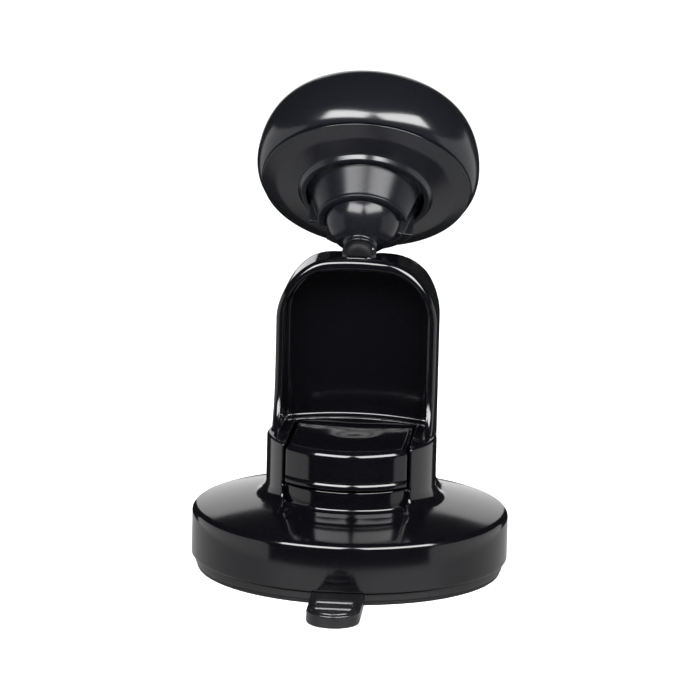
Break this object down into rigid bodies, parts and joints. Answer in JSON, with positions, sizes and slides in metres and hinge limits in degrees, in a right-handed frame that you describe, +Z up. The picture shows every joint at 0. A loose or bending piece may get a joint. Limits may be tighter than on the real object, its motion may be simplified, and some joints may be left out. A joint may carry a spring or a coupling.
{
  "type": "car phone mount",
  "caption": "Magnetic dashboard phone mount: suction base with locking lever and pull tab, upright scooped arm, ball joint and round magnetic head.",
  "frame": {"origin": "on the base's axis, in the plane of the suction face", "axes": "+Z up from the suction face, -Y towards the lever and pull tab, +X right seen from the lever side"},
  "size_m": [0.071, 0.1022, 0.1102],
  "materials": {
    "gloss_shell": "high gloss",
    "gloss_lever": "high gloss",
    "head_plastic": "satin gloss",
    "socket_plastic": "semi gloss",
    "ball_plastic": "polished",
    "soft_rubber": "satin",
    "pad_rubber": "matte",
    "gel": "tacky gloss",
    "inner_plastic": "moulded",
    "pin_steel": "ground",
    "screw_steel": "black zinc",
    "spring_steel": "zinc plated",
    "nickel": "nickel plated"
  },
  "bodies": {
    "base": {"base_housing": "gloss_shell", "arm_rear_cover": "gloss_shell", "arm_cover_screws": "screw_steel", "stud_pin": "pin_steel", "suction_ring": "soft_rubber", "gel_pad": "gel", "wear_plate": "pin_steel", "spring_washer": "pin_steel", "suction_membrane": "soft_rubber", "return_spring": "spring_steel"},
    "plunger": {"plunger": "inner_plastic"},
    "lever": {"locking_lever": "gloss_lever", "lever_pin": "pin_steel"},
    "stud": {"ball_stud": "ball_plastic"},
    "socket": {"ball_socket": "socket_plastic", "friction_pad": "soft_rubber"},
    "head": {"head_back_cover": "head_plastic", "head_front_shell": "head_plastic", "magnet_tray": "inner_plastic", "yoke_plate": "spring_steel", "magnets": "nickel", "face_pad": "pad_rubber", "head_screws": "screw_steel"}
  },
  "joints": [
    {"name": "plunger_slide", "type": "slide", "parent": "base", "child": "plunger", "axis": [0, 0, 1], "range_m": [-0.003, 0], "deforming": ["return_spring", "suction_membrane"]},
    {"name": "lever_lock", "type": "hinge", "parent": "plunger", "child": "lever", "pos_m": [0, 0.0025, 0.024], "axis": [-1, 0, 0], "range_deg": [0, 90]},
    {"name": "stud_turn", "type": "hinge", "parent": "base", "child": "stud", "pos_m": [0, 0.0145, 0.0775], "axis": [0, 0.7314, 0.682], "range_deg": [-60, 60]},
    {"name": "socket_tilt", "type": "hinge", "parent": "stud", "child": "socket", "pos_m": [0, 0.0145, 0.0775], "axis": [1, 0, 0], "range_deg": [-15, 40]},
    {"name": "head_turn", "type": "hinge", "parent": "socket", "child": "head", "pos_m": [0, 0.0145, 0.0775], "axis": [0, 0.7314, 0.682], "continuous": true}
  ],
  "couplings": [
    {"joint": "lever_lock", "follows": "plunger_slide", "rad_per_m": -523.59}
  ]
}
